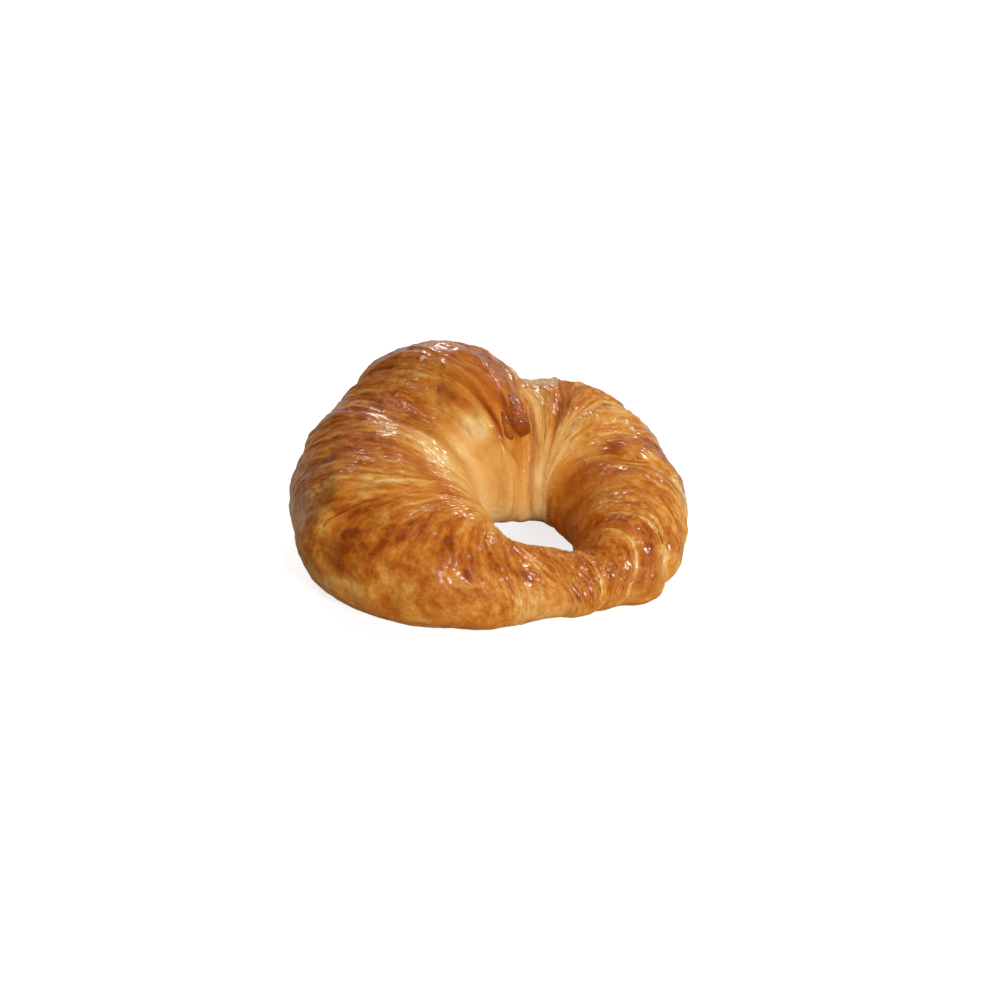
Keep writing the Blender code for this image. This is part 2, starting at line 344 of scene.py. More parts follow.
# %% Where relief shows
# Relief fades on the underside, which the tray pressed, and in the hole, where the wraps are squeezed.
UNDERSIDE_RISE = (-0.7, 0.1)
UNDERSIDE_SHARE = 0.15
HOLE_FADE, HOLE_RETURN = (115, 160), (230, 300)
HOLE_SHARE = 0.15
showing = smooth(*UNDERSIDE_RISE, np.sin(AROUND_DOUGH))
in_hole = smooth(*HOLE_FADE, SECTION) * (1 - smooth(*HOLE_RETURN, SECTION))
RELIEF_SHARE = mix(UNDERSIDE_SHARE, 1.0, showing) * mix(1.0, HOLE_SHARE, in_hole)
FROM_OUTER_SIDE = np.where(SECTION > 270, SECTION - 360, SECTION)
print("relief at", round(float(RELIEF_SHARE.mean()), 2), "of its full height on average")

# %% How crisp each lip is
# Lips fuse with the dough low on the outer side and towards the hole. Here and there one stands free.
# Name of the edge, the section angle in the middle of a free stretch and its half length, and how much
# crisper and higher (in millimetres) the lip is there.
FREE_STRETCHES = (
    ("tongue_left", 108, 20, 0.7, 0.9),
    ("belly_left", 60, 25, 0.3, 0.3),
    ("shoulder", 50, 25, 0.3, 0.4),
    ("elbow", 40, 22, 0.0, 0.5),
    ("right_elbow", 75, 40, 0.2, 0.3),
    ("right_shoulder", 20, 40, 0.4, 0.5),
    ("right_flank", 25, 40, 0.4, 0.5),
    ("streak", 25, 40, 0.4, 0.5),
    ("valley", 30, 45, 0.5, 0.6),
    ("flank", 20, 35, 0.4, 0.5),
)
TOP_SIDE = (-20.0, 45.0)
FUSING_INWARD = (112.0, 140.0)
CRISP_TO_TABLE = 0.8
WRAP_SHIFT = 5.3


def edge_noise(frequency, offset):
    """Random values of about -1 to 1 along every wrap's edge, the same wherever they are asked for."""
    values = np.empty_like(EDGES[:-1])
    for wrap in range(len(WRAPS)):
        for row, angle in enumerate(AROUND_DOUGH[0]):
            round_it = frequency * np.cos(angle), frequency * np.sin(angle)
            values[wrap, row] = noise.noise(Vector((wrap * WRAP_SHIFT + offset, *round_it))) * 2.0
    return values


free_crispness, free_lip = np.zeros_like(EDGES[:-1]), np.zeros_like(EDGES[:-1])
for edge_name, middle, half, crisper, higher in FREE_STRETCHES:
    stretch = np.exp(-(((np.mod(SECTION[0] - middle + 180, 360) - 180) / half) ** 2))
    edge = WRAP_NAMES.index(edge_name)
    free_crispness[edge] = crisper * stretch
    free_lip[edge] = higher * stretch
on_top = smooth(*TOP_SIDE, FROM_OUTER_SIDE[:1])
own_crispness = wrap_column(LIP_CRISPNESS)[:, None]
stays_crisp = np.where(own_crispness > CRISP_TO_TABLE, 1.0, on_top)
CRISPNESS = np.clip(own_crispness + free_crispness + 0.3 * edge_noise(2.2, 100.0), 0.0, 1.0)
CRISPNESS = CRISPNESS * stays_crisp * (1 - 0.9 * smooth(*FUSING_INWARD, SECTION[:1]))
LIPS = wrap_column(LIP_MM)[:, None] * (1.0 + 0.4 * edge_noise(1.6, 0.0))
print("lips stand", round(float(LIPS.max()), 1), "mm at most")

# %% Heights of the wraps
JOINT_GROOVE_MM = 1.2
PILLOW_MM = 0.54
CRISP_MM, FUSED_MM = 0.25, 5.0
FULL_WIDTH_MM = 9.0
ROUNDING_SHARE, ROUNDING_MM = 0.4, 1.1


def own_edge(values):
    """The value, at every point of the skin, of the edge that it is nearer to."""
    return np.where(FROM_START < TO_END, values[ON_WRAP], next_edge(values))


def wrap_heights():
    """Each wrap runs from its low end to its high end, swells in its middle and is rounded at its lip."""
    lips = (LIPS + free_lip) * mix(0.5, 1.0, stays_crisp)
    before = STEP_DOWN[:, None] * lips / 2
    after = -before.copy()
    before[JOINT] -= JOINT_GROOVE_MM
    soft = CRISP_MM + FUSED_MM * (1 - CRISPNESS)
    start = after[ON_WRAP] * smooth(-0.1, 1.0, FROM_START / soft[ON_WRAP])
    end = next_edge(before) * smooth(-0.1, 1.0, TO_END / next_edge(soft))
    level = mix(start, end, smooth(0.0, 1.0, SHARE))
    widths = np.clip(local_mm(SPAN) / FULL_WIDTH_MM, 0.1, 1.0)
    rounded = ROUNDING_SHARE * (1 - smooth(0.0, ROUNDING_MM, FROM_HIGH)) ** 2
    rounding = own_edge(lips) * own_edge(CRISPNESS) * rounded
    return (level - rounding + PILLOW_MM * np.sin(np.pi * SHARE)) * widths * RELIEF_SHARE


# %% Thin layers
NEAR_LOW_MM = (2.0, 14.0)
LAYER_WANDER, LAYER_STREAKS, LAYER_SHIFT = 0.9, 0.25, 3.7
LAYER_LIP = 0.84


def layer_rise(spacing_mm):
    """Thin shingled layers parallel to the wrap's edge: 0 at each one's root, 1 at its own lip."""
    place = FROM_JOINT_MM / spacing_mm + LAYER_WANDER * wander + LAYER_STREAKS * streaks
    saw = np.mod(place + LAYER_SHIFT * WRAP, 1.0)
    saw = np.where(START_IS_LOW > 0.5, saw, 1.0 - saw)
    return saw * smooth(1.0, LAYER_LIP, saw)


near_low = 1 - smooth(*NEAR_LOW_MM, FROM_LOW)
LAYERS = wrap_column(LAYERING)[WRAP] * mix(0.45, 1.0, near_low) * mix(0.5, 1.0, showing)
LAYERS = LAYERS * smooth(-0.7, 0.3, wander)
thick_layers, thin_layers = layer_rise(2.6), layer_rise(1.3)
print("layers at", round(float(LAYERS.mean()), 2), "of full strength on average")

# %% [markdown]
# ## Places of their own
#
# Hand-rolled dough has marks that no rule gives: the hollow by the tip, a pale crack by the joint, a
# golden lump on the elbow. Each is a soft spot that changes the crust just there, in colour, gloss,
# wrinkling or height. A few paint shade as darker colour: beside the fold, in the hollow by the tip and
# the crease under it, along the under layer's edge, at the tongue's foot, in a crease on the shoulder and
# beside the elbow's golden lump. A list of named places is chosen over painting, because it can be read
# and changed.

# %% Marks on the crust
# Name; the wrap, the share across it and the section angle; half width across in millimetres at the
# crest, and round the section in degrees; change of brownness (painted shade in the rows marked so), of
# gloss and of wrinkling, and height in millimetres.
SPOTS = (
    # Painted shadow and painted shade: darker crust beside the fold and in the hollow between the fold and
    # the tip.
    ("fold's shadow", "tongue_right", 0.97, 135, 2.2, 10, 0.42, 0.0, 0.2, -0.5),
    ("hollow beside the tip", "tongue_right", 0.66, 130, 4.0, 14, 0.36, 0.0, 0.0, -0.5),
    ("tongue's dark end", "tongue_right", 0.60, 108, 8.0, 18, 0.10, -0.2, 1.2, 0.0),
    ("under the tip", "tongue_right", 0.30, 112, 5.0, 18, 0.06, 0.1, 0.3, 0.0),
    ("tip's pale start", "tongue_right", 0.00, 62, 5.0, 14, -0.36, 0.0, 0.0, 0.0),
    ("tongue's golden streak", "tongue_right", 0.97, 96, 1.6, 14, -0.10, 0.0, 0.3, 0.0),
    ("tongue's wrinkles", "tongue_left", 0.45, 108, 4.0, 14, 0.06, -0.1, 3.0, 0.0),
    ("dark layer edge", "tongue_left", 0.58, 116, 1.8, 20, 0.26, 0.0, 0.0, -0.8),
    ("pale layer edge", "tongue_left", 0.84, 120, 1.7, 30, -0.26, 0.0, 0.0, 0.7),
    # Painted shadow: darker crust along the lower edge of the under layer.
    ("under layer's lower edge", "tongue_left", 0.40, 147, 8.0, 4, 0.14, 0.0, 0.0, -0.7),
    ("belly's floury face", "tongue_left", 0.62, 136, 6.0, 8, -0.28, -0.1, 1.5, 0.6),
    ("fold under the tip", "tongue_right", 0.52, 145, 7.0, 5, 0.04, 0.1, 0.6, 0.9),
    # Painted shade: darker crust in the crease below the tip.
    ("crease under the tip", "tongue_right", 0.64, 153, 8.0, 3, 0.18, 0.0, 0.0, -0.7),
    ("belly's nested edge", "belly_left", 0.30, 137, 2.4, 18, -0.18, 0.2, 0.4, 0.8),
    ("valley's golden inner side", "valley", 0.40, 160, 6.0, 12, -0.10, 0.4, 0.3, 0.5),
    # Painted shade: darker crust at the tongue's foot, under the edge of the tongue.
    ("tongue's dark foot", "tongue_left", 0.06, 142, 2.6, 14, 0.24, 0.1, 0.3, 0.0),
    ("cream pad", "tongue_left", 0.31, 88, 1.7, 5, -0.26, -0.4, 0.0, 0.7),
    ("under the tongue", "tongue_left", 0.55, 132, 5.0, 14, 0.04, -0.4, 2.2, 0.0),
    ("belly's yellow streaks", "tongue_right", 0.94, 70, 2.0, 14, -0.10, 0.0, 0.0, 0.0),
    ("belly's dark start", "belly_left", 0.06, 98, 2.6, 36, 0.16, 0.1, 0.0, -0.4),
    ("belly's paler back", "belly_left", 0.55, 50, 5.0, 12, -0.14, 0.0, 0.0, 0.0),
    ("belly's golden band", "belly_left", 0.78, 88, 4.0, 12, -0.12, 0.0, 0.0, 0.0),
    ("belly's glossy face", "belly_left", 0.60, 140, 8.0, 16, 0.00, 0.35, 0.5, 0.0),
    ("belly's golden edge", "belly_left", 0.95, 112, 3.5, 20, -0.14, 0.0, 0.0, 0.0),
    ("flank's golden start", "flank", 0.10, 112, 4.0, 16, -0.14, 0.0, 0.3, 0.0),
    ("flank's golden band", "flank", 0.25, 92, 4.0, 14, -0.16, 0.0, 0.0, 0.0),
    ("flank's dark band", "flank", 0.68, 70, 4.5, 32, 0.16, 0.2, 0.0, 0.0),
    ("flank's glossy foot", "flank", 0.50, 128, 8.0, 18, 0.00, 0.2, 0.3, 0.0),
    ("shoulder's golden start", "shoulder", 0.15, 84, 6.0, 16, -0.06, 0.0, 0.3, 0.0),
    ("shoulder's brown end", "shoulder", 0.85, 62, 5.0, 20, 0.18, 0.0, 0.3, 0.0),
    ("shoulder's pale foot", "shoulder", 0.82, -8, 6.0, 18, -0.26, -0.1, 0.0, 0.0),
    ("shoulder's inner streak", "shoulder", 0.45, 112, 12.0, 10, 0.36, 0.1, 0.0, 0.0),
    ("shoulder pad", "shoulder", 0.25, 56, 3.0, 9, -0.04, -0.1, 0.0, 1.1),
    # Painted shade: darker crust in a crease on the shoulder.
    ("shoulder crease", "shoulder", 0.50, 42, 2.0, 16, 0.12, 0.0, 0.0, -0.8),
    ("golden fold", "shoulder", 0.90, 34, 1.6, 8, -0.34, 0.1, 0.0, 0.6),
    ("forearm's matte top", "elbow", 0.14, 90, 7.0, 16, -0.14, -0.5, 0.0, 0.0),
    ("forearm's golden inner side", "elbow", 0.45, 108, 12.0, 14, -0.14, 0.0, 0.0, 0.0),
    ("forearm's dark side", "elbow", 0.06, 32, 6.0, 20, 0.18, 0.0, 0.5, 0.0),
    ("forearm's dark middle", "elbow", 0.60, 56, 6.0, 12, 0.17, 0.0, 0.3, 0.0),
    ("forearm's pale front", "elbow", 0.88, 12, 7.0, 26, -0.08, -0.1, 0.0, 0.0),
    ("forearm's dull end", "elbow", 0.78, 55, 9.0, 24, 0.00, -0.5, 0.0, 0.0),
    ("ring blister", "elbow", 0.83, 32, 1.3, 4, -0.36, -0.3, 0.0, 0.5),
    ("forearm's dark start", "forearm", 0.00, 76, 2.0, 16, 0.26, 0.1, 0.0, 0.0),
    ("wrist's dark side", "wrist", 0.15, 38, 2.4, 12, 0.18, 0.1, 0.0, 0.0),
    ("wrist's golden inner side", "wrist", 0.50, 104, 4.0, 13, -0.16, 0.0, 0.0, 0.0),
    ("wrist's pale end", "wrist", 0.92, 60, 2.0, 24, -0.24, 0.0, 0.0, 0.0),
    ("left horn's dark side", "left_horn", 0.35, 20, 3.0, 12, 0.16, 0.1, 0.0, 0.0),
    ("left horn's golden inner side", "left_horn", 0.60, 108, 5.0, 18, -0.18, 0.0, 0.0, 0.0),
    ("joint dough", "joint", 0.04, 24, 1.7, 34, -0.40, -0.2, 0.0, 0.0),
    ("joint's dark ridge", "joint", 0.45, 48, 3.0, 14, 0.14, 0.1, 0.0, 0.5),
    ("joint's dark foot", "joint", 0.25, 10, 2.4, 12, 0.20, 0.1, 0.0, 0.0),
    ("pale crack", "joint", 0.98, 40, 1.4, 50, -0.38, -0.2, 0.0, -0.3),
    ("oval pit", "joint", 0.96, 50, 0.9, 3, 0.30, 0.0, 0.0, -0.8),
    ("right horn's dark top", "right_horn", 0.40, 55, 4.5, 24, 0.16, 0.1, 0.0, 0.5),
    ("right horn's dark inner end", "right_horn", 0.80, 122, 3.0, 14, 0.18, 0.0, 0.0, 0.0),
    ("right horn's pale lip", "right_wrist", 0.03, 16, 1.6, 26, -0.38, -0.1, 0.0, 0.0),
    ("foot streaks", "right_horn", 0.55, -12, 3.0, 18, -0.10, 0.1, 0.8, 0.0),
    ("right wrist's dark side", "right_wrist", 0.50, 20, 4.0, 12, 0.26, 0.0, 0.0, 0.0),
    ("cream edge", "right_forearm", 0.76, 28, 3.8, 13, -0.42, -0.3, 0.0, 0.0),
    ("forearm's golden edge", "right_forearm", 0.88, 58, 4.0, 13, -0.26, 0.0, 0.0, 0.0),
    ("elbow's golden edge", "right_elbow", 0.06, 30, 3.0, 15, -0.22, 0.0, 0.0, 0.0),
    ("elbow's dark start", "right_elbow", 0.05, 92, 3.0, 10, 0.14, 0.1, 0.0, 0.0),
    ("elbow's golden lump", "right_elbow", 0.45, 70, 4.2, 15, -0.02, 0.3, 0.3, 1.7),
    ("elbow's dark back", "right_elbow", 0.75, 48, 4.0, 14, 0.16, 0.0, 0.0, 0.0),
    ("elbow's hollow", "right_elbow", 0.25, 112, 4.0, 12, -0.10, 0.0, 0.4, -0.6),
    # Painted shade: darker crust in the crease beside the elbow's golden lump.
    ("dark lump", "right_elbow", 0.19, 95, 1.8, 6, 0.24, 0.1, 0.0, -1.6),
    ("elbow's tan inner side", "right_elbow", 0.80, 116, 4.0, 22, 0.14, 0.0, 0.8, 0.0),
    ("crinkled zone", "right_shoulder", 0.14, 106, 5.0, 18, 0.00, -0.1, 4.0, 0.0),
    ("shoulder's pale ridge", "right_shoulder", 0.60, 90, 2.2, 34, -0.04, 0.1, 0.0, 0.8),
    ("right crest", "right_flank", 0.60, 56, 4.0, 12, -0.12, 0.2, 0.0, 0.0),
    ("right flank's brown start", "right_flank", 0.08, 90, 2.4, 14, 0.14, 0.1, 0.0, 0.0),
    ("dark streak", "right_flank", 0.94, 106, 3.4, 26, 0.36, 0.3, 0.0, -1.2),
    ("streak's tan side", "streak", 0.60, 110, 3.0, 16, 0.10, 0.0, 0.6, 0.0),
    ("pale valley", "valley", 0.38, 114, 2.4, 22, -0.18, 0.1, 0.0, 1.2),
    ("tan valley", "valley", 0.40, 76, 3.2, 13, 0.38, 0.0, 0.6, 0.0),
    ("golden hollow", "right_shoulder", 0.25, 150, 5.0, 12, -0.12, 0.2, 0.0, 0.0),
)
BROWNING_AND_SHADE, GLOSSIER, MORE_WRINKLED, HIGHER = range(6, 10)


def spot_sum(column):
    """All the marks' changes at every point of the skin."""
    total = np.zeros_like(RING)
    for spot in SPOTS:
        _, wrap_name, share, section_angle, half_mm, half_section = spot[:6]
        wrap = WRAP_NAMES.index(wrap_name)
        middle = mix(WRAP_STARTS_MM[wrap], WRAP_STARTS_MM[wrap + 1], share)
        across = np.mod(RING_MM - middle + ROUND_TRIP_MM / 2, ROUND_TRIP_MM) - ROUND_TRIP_MM / 2
        round_it = (np.mod(SECTION - section_angle + 180, 360) - 180) / half_section
        total += spot[column] * np.exp(-((across / half_mm) ** 2) - round_it**2)
    return total


print(len(SPOTS), "places of their own")

# %% [markdown]
# ## Moulding the ring
#
# Now the heights are added up and the grid is moved into place: the wraps, the slow lumps of hand-rolled
# dough, the tongue's sheet over the belly, the layers and the wrinkles. The horns' ends spread over the
# table as feet, and everything below the table is pressed flat. The finished form is scaled down by
# about one percent at most, so that it fills the solid's box exactly.

# %% Lumps, tongue and feet
# Waves round the ring, waves round the section, start in degrees and height in millimetres.
LUMPS = ((3, 1, 20, 0.25), (5, -2, 110, 0.2), (8, 1, 180, 0.2), (11, 3, 290, 0.15), (17, -2, 50, 0.12))
TONGUE_MM = 0.9
TONGUE_RISE = (25.0, 75.0)
TONGUE_END = (141.0, 151.0)
TONGUE_BORDER = 0.06
# Name; angle round the hole and half width in degrees; length in millimetres.
FEET = (("left_horn_end", 300.0, 6.0, 2.0), ("right_horn_foot", 327.5, 5.5, 4.4))
FOOT_SECTION_ANGLE, FOOT_HALF_SECTION = -30.0, 42.0
FOOT_BLUNTNESS = 4


def lump_heights(ring_angle, section_angle):
    """Slow lumps: waves that run round the ring and round the section at once."""
    waves = 0.0
    for round_ring, round_section, start, height in LUMPS:
        phase = round_ring * ring_angle + round_section * section_angle + start
        waves = waves + height * np.sin(np.radians(phase))
    return waves


def tongue_heights():
    """The tongue's sheet, which lies on the belly from the outer side to the tip."""
    sheet = smooth(0.0, TONGUE_BORDER, SHARE) * (1 - smooth(1 - TONGUE_BORDER, 1.0, SHARE))
    sheet = sheet * (WRAP == len(WRAPS) - 1)
    return TONGUE_MM * sheet * smooth(*TONGUE_RISE, SECTION) * (1 - smooth(*TONGUE_END, SECTION))


def foot_spread():
    """How far the horns' ends spread outwards, low on their outer side."""
    turned = np.mod(SECTION - FOOT_SECTION_ANGLE + 180, 360) - 180
    low_down = np.exp(-((turned / FOOT_HALF_SECTION) ** 2))
    spread = 0.0
    for _, angle, half_angle, length in FEET:
        aside = (np.abs(RING - angle) / half_angle) ** FOOT_BLUNTNESS
        spread = spread + length * np.exp(-aside) * low_down
    ring = np.radians(RING)
    return spread[..., None] * np.stack([np.cos(ring), np.sin(ring), 0 * ring], axis=-1)


# %% Make and place a mesh
def new_mesh_object(add, name, **sizes):
    """A primitive, on its own in the selection, with its name."""
    bpy.ops.object.select_all(action="DESELECT")
    add(**sizes)
    made = bpy.context.object
    made.name = made.data.name = name
    return made


def set_points(piece, points_mm):
    """Moves all of a piece's points, given in millimetres."""
    points_m = (points_mm.reshape(-1, 3) * MM).astype(np.float32)
    piece.data.vertices.foreach_set("co", points_m.ravel())
    piece.data.update()


def closed(values):
    """The values with the first column and the first row again at the end, in the grid's own order."""
    joined = np.concatenate([values, values[:1]], axis=0)
    joined = np.concatenate([joined, joined[:, :1]], axis=1)
    return np.swapaxes(joined, 0, 1)


# %% Mould the ring
# Heights of the skin's details and the reach of a free lip over its neighbour, in millimetres.
THICK_LAYER_MM, THIN_LAYER_MM = 0.40, 0.20
LAYER_MIDDLE = 0.4
BLISTER_MM, PIT_MM, FOLD_MM, WRINKLE_MM, FINE_WRINKLE_MM = 0.32, 0.12, 0.50, 0.24, 0.14
LASTING_PIT_MM, CRACKLE_MM = 0.05, 0.08
OVERHANG_MM, OVERHANG_WIDTH_MM = 0.4, 1.0
FREE_LIP = (0.5, 0.95)
DEEP_SIDE = (142.0, 168.0)

heights = wrap_heights() + lump_heights(RING, SECTION) + tongue_heights() + spot_sum(HIGHER)
layer_mm = THICK_LAYER_MM * (thick_layers - LAYER_MIDDLE) + THIN_LAYER_MM * (thin_layers - LAYER_MIDDLE)
heights += layer_mm * LAYERS * NARROWING
deep_side = smooth(*DEEP_SIDE, FROM_OUTER_SIDE)
wrinkling = mix(0.35, 1.0, showing) * NARROWING * (1.0 + spot_sum(MORE_WRINKLED)) * mix(1.0, 0.7, deep_side)
wrinkled = BLISTER_MM * blisters + PIT_MM * pits + FOLD_MM * folds
wrinkled = wrinkled + WRINKLE_MM * wrinkles + FINE_WRINKLE_MM * fine_wrinkles
heights += wrinkling * wrinkled
heights += (LASTING_PIT_MM * pits + CRACKLE_MM * crackle) * mix(0.4, 1.0, showing)
overhang = OVERHANG_MM * smooth(*FREE_LIP, own_edge(CRISPNESS)) * showing
overhang = overhang * (1 - smooth(0.0, OVERHANG_WIDTH_MM, FROM_HIGH))
overhang = overhang * np.where(FROM_START < TO_END, -1.0, 1.0)
points = PLACE + OUTWARD * heights[..., None] + ALONG * overhang[..., None] + foot_spread()
points[..., 2] = np.maximum(points[..., 2], 0.0)
OWN_LOW, OWN_HIGH = points.reshape(-1, 3).min(axis=0), points.reshape(-1, 3).max(axis=0)
CAD_LOW, CAD_HIGH = (np.array(corner) / MM for corner in cad_box)
TO_FIT = (CAD_HIGH - CAD_LOW) / (OWN_HIGH - OWN_LOW)


def in_frame(points_mm):
    """Moves points from the ring's own frame into the solid's box."""
    return (points_mm - OWN_LOW) * TO_FIT + CAD_LOW


crust = new_mesh_object(
    bpy.ops.mesh.primitive_grid_add, "baked_ring", x_subdivisions=COLUMNS, y_subdivisions=ROWS, size=0.1
)
set_points(crust, closed(in_frame(points)))
print("ring:", len(crust.data.polygons), "faces, scaled by", TO_FIT.round(4), "to fit the solid")

# %% [markdown]
# ## How the crust has baked
#
# Colour follows the oven: the brushed skin above the lips browns first, and the dough that a lip
# sheltered stays pale. The sides low on the tray and the hole's wall stay lighter, and the brushed egg
# shines on the top side. A few marks also darken the colour as painted shade. These shares are worked out
# on the mesh and kept as attributes, so that the material can read them on any side.

# %% Tone of each wrap
OUTER_SIDE, INNER_SIDE = (10.0, 50.0), (92.0, 135.0)
SIDE_WANDER = 8.0
TONE_BLEND_MM = 0.3
BAND_STRENGTH, RIM_TONE = 0.8, 0.05


def of_wrap(column):
    """A column of the wraps' table at every point, run into the neighbour's where the lip is fused."""
    own = wrap_column(column)[:, None] + 0.0 * SECTION[:1]
    soft = TONE_BLEND_MM + FUSED_MM * (1 - CRISPNESS)
    near_start = 0.5 * (1 - smooth(0.0, 1.0, FROM_START / soft[ON_WRAP]))
    near_end = 0.5 * (1 - smooth(0.0, 1.0, TO_END / next_edge(soft)))
    before = np.roll(own, 1, axis=0)[ON_WRAP]
    return own[ON_WRAP] * (1 - near_start - near_end) + before * near_start + next_edge(own) * near_end


section_here = FROM_OUTER_SIDE + SIDE_WANDER * wander
outer_side = 1 - smooth(*OUTER_SIDE, section_here)
inner_side = smooth(*INNER_SIDE, section_here)
skin = of_wrap(CREST_TONE) * (1 - outer_side - inner_side)
skin = skin + of_wrap(OUTER_TONE) * outer_side + of_wrap(INNER_TONE) * inner_side
ragged = np.clip(1.0 + 0.5 * wander + 0.5 * streaks, 0.2, 2.5)
band = 1 - smooth(0.1, 1.1, FROM_LOW / (of_wrap(BAND_MM) * ragged))
band = BAND_STRENGTH * band * (1 - inner_side) * mix(0.4, 1.0, on_top)
rim = RIM_TONE * (1 - smooth(0.2, 3.0, FROM_HIGH))
print("mean tone of the brushed skin:", round(float(skin.mean()), 2))

# %% Baked places
# How much brown the skin's details add, how much paler and duller the low side is, and the gloss.
THICK_LAYER_TONE, THIN_LAYER_TONE = 0.28, 0.16
STREAK_TONE, WRINKLE_TONE, BLISTER_TONE, PATCH_TONE = 0.20, 0.10, 0.02, 0.05
PALE_FOOT, PALE_HOLE, PALEST = 0.12, 0.12, 0.10
FOOT_RISE, BASE_RISE = (-0.45, 0.25), (-0.75, -0.95)
BASE_TONE = 0.60
SKIN_GLOSS, BAND_DULLNESS, FOOT_DULLNESS = 0.70, 0.30, 0.65
GLOSS_WANDER, PATCH_GLOSS = 0.8, 0.3

low_side = 1 - smooth(*FOOT_RISE, np.sin(AROUND_DOUGH))
underside = smooth(*BASE_RISE, np.sin(AROUND_DOUGH))
grain = THICK_LAYER_TONE * (thick_layers - LAYER_MIDDLE) + THIN_LAYER_TONE * (thin_layers - LAYER_MIDDLE)
grain = grain * LAYERS + STREAK_TONE * streaks + WRINKLE_TONE * fine_wrinkles
grain = grain * (1 - 0.3 * inner_side - 0.25 * deep_side) * (1 - 0.5 * low_side) * NARROWING
# The marks' brownness includes painted shade in a few hollows and creases.
brown = mix(skin, of_wrap(BAND_TONE), band) + rim + spot_sum(BROWNING_AND_SHADE)
brown += BLISTER_TONE * blisters + PATCH_TONE * patches + grain
brown -= PALE_FOOT * low_side + PALE_HOLE * deep_side
brown = np.clip(mix(brown, BASE_TONE, underside), PALEST, 1.0)
gloss = SKIN_GLOSS - BAND_DULLNESS * band - FOOT_DULLNESS * low_side + spot_sum(GLOSSIER)
gloss = np.clip(gloss + GLOSS_WANDER * wander + PATCH_GLOSS * patches, 0.0, 1.0)
layered = np.clip(LAYERS * mix(0.8, 1.2, band), 0.45, 1.0) * NARROWING
layered = layered * (1 - 0.4 * inner_side - 0.2 * deep_side) * (1 - 0.4 * low_side)


def keep_attribute(piece, name, values):
    """Keeps a number at every point of a piece, for the material to read."""
    attribute = piece.data.attributes.new(name, "FLOAT", "POINT")
    attribute.data.foreach_set("value", values.astype(np.float32).ravel())


keep_attribute(crust, "brown", closed(brown))
keep_attribute(crust, "gloss", closed(gloss))
keep_attribute(crust, "layered", closed(layered))
print("brownness from", round(float(brown.min()), 2), "to", round(float(brown.max()), 2))

# %% [markdown]
# ## A map for the thin layers, and closing the ring
#
# The thin layers run along the wraps' edges, so their pattern needs a map that follows the wraps: across
# them in one direction and round the dough in the other, in real distances. It is drawn while the grid is
# still open, so that it has a clean seam. Then the grid's borders, which already touch, are merged.

# %% Map along the wraps
GIRTH_MM = 160.0
MAP_UNIT_MM = 100.0
MERGE_DISTANCE = 0.000001


def lay_map(piece):
    """Each corner's distance across the wraps and round the dough, in tenths of a metre."""
    mesh = piece.data
    corners = np.empty(len(mesh.loops), dtype=int)
    mesh.loops.foreach_get("vertex_index", corners)
    across = np.append(RING_MM[:, 0], ROUND_TRIP_MM)
    around_it = np.append(SECTION[0], SECTION[0, 0] + 360.0) / 360.0 * GIRTH_MM
    column, row = corners % (COLUMNS + 1), corners // (COLUMNS + 1)
    uv = np.stack([across[column], around_it[row]], axis=-1) / MAP_UNIT_MM
    mesh.uv_layers.active.data.foreach_set("uv", uv.astype(np.float32).ravel())


def close_ring(piece):
    """Merges the borders that touch and turns every face outwards."""
    bpy.context.view_layer.objects.active = piece
    piece.select_set(True)
    bpy.ops.object.mode_set(mode="EDIT")
    bpy.ops.mesh.select_all(action="SELECT")
    bpy.ops.mesh.remove_doubles(threshold=MERGE_DISTANCE)
    bpy.ops.mesh.normals_make_consistent(inside=False)
    bpy.ops.object.mode_set(mode="OBJECT")
    piece.data.shade_smooth()


lay_map(crust)
close_ring(crust)
print("closed ring:", len(crust.data.vertices), "points,", len(crust.data.polygons), "faces")

# %% [markdown]
# ## The curled tip
#
# The triangle's point, the tongue's end, was rolled a little thicker and hangs over the belly's inner
# face as a dark, blunt roll, and a thinner fold of the same dough lies beside it. Each one is a sphere
# drawn out along a path on the crust, because a sphere is closed and has no seam to hide. The tip gets a
# crease and a cuff near its end. Both rolls start under the ring's skin, so that they grow out of it.

# %% Rolls of the tip
# Name; three places along its path, each a ring angle and a section angle; half widths, half thicknesses
# and lifts there, in millimetres; depth of the crease behind its end, in millimetres; how blunt its ends
# are; brownness at its start and at its end.
ROLLS = (
    ("curled_tip", ((101, 86), (99, 112), (105.5, 138.5)), (4.8, 5.0, 5.2), (1.4, 3.8, 4.5),
     (-1.6, 1.8, 2.8), 0.9, 1.0, (0.66, 0.97)),
    ("fold_beside_tip", ((117, 98), (113.5, 132), (116.5, 146)), (1.6, 3.0, 3.2), (1.0, 2.0, 2.2),
     (-2.6, 1.2, 0.9), 0.0, 0.3, (0.66, 0.90)),
)
ROLL_SEGMENTS, ROLL_RINGS = 160, 200
ROLL_WIDTH_MM, ROLL_LENGTH_MM, ROLL_THICKNESS_MM = 3.0, 14.0, 5.0
BUMP_MM, FINE_BUMP_MM = 2.6, np.array([1.2, 1.2, 3.0])
CUFF, CREASE = (0.93, 0.04, 0.7), (0.84, 0.025, -1.1)
BROWNING = (0.15, 0.60)


def ridge(share, middle, half_width, height):
    """A smooth ridge across a roll, or a groove where its height is below 0."""
    return height * np.exp(-(((share - middle) / half_width) ** 2))


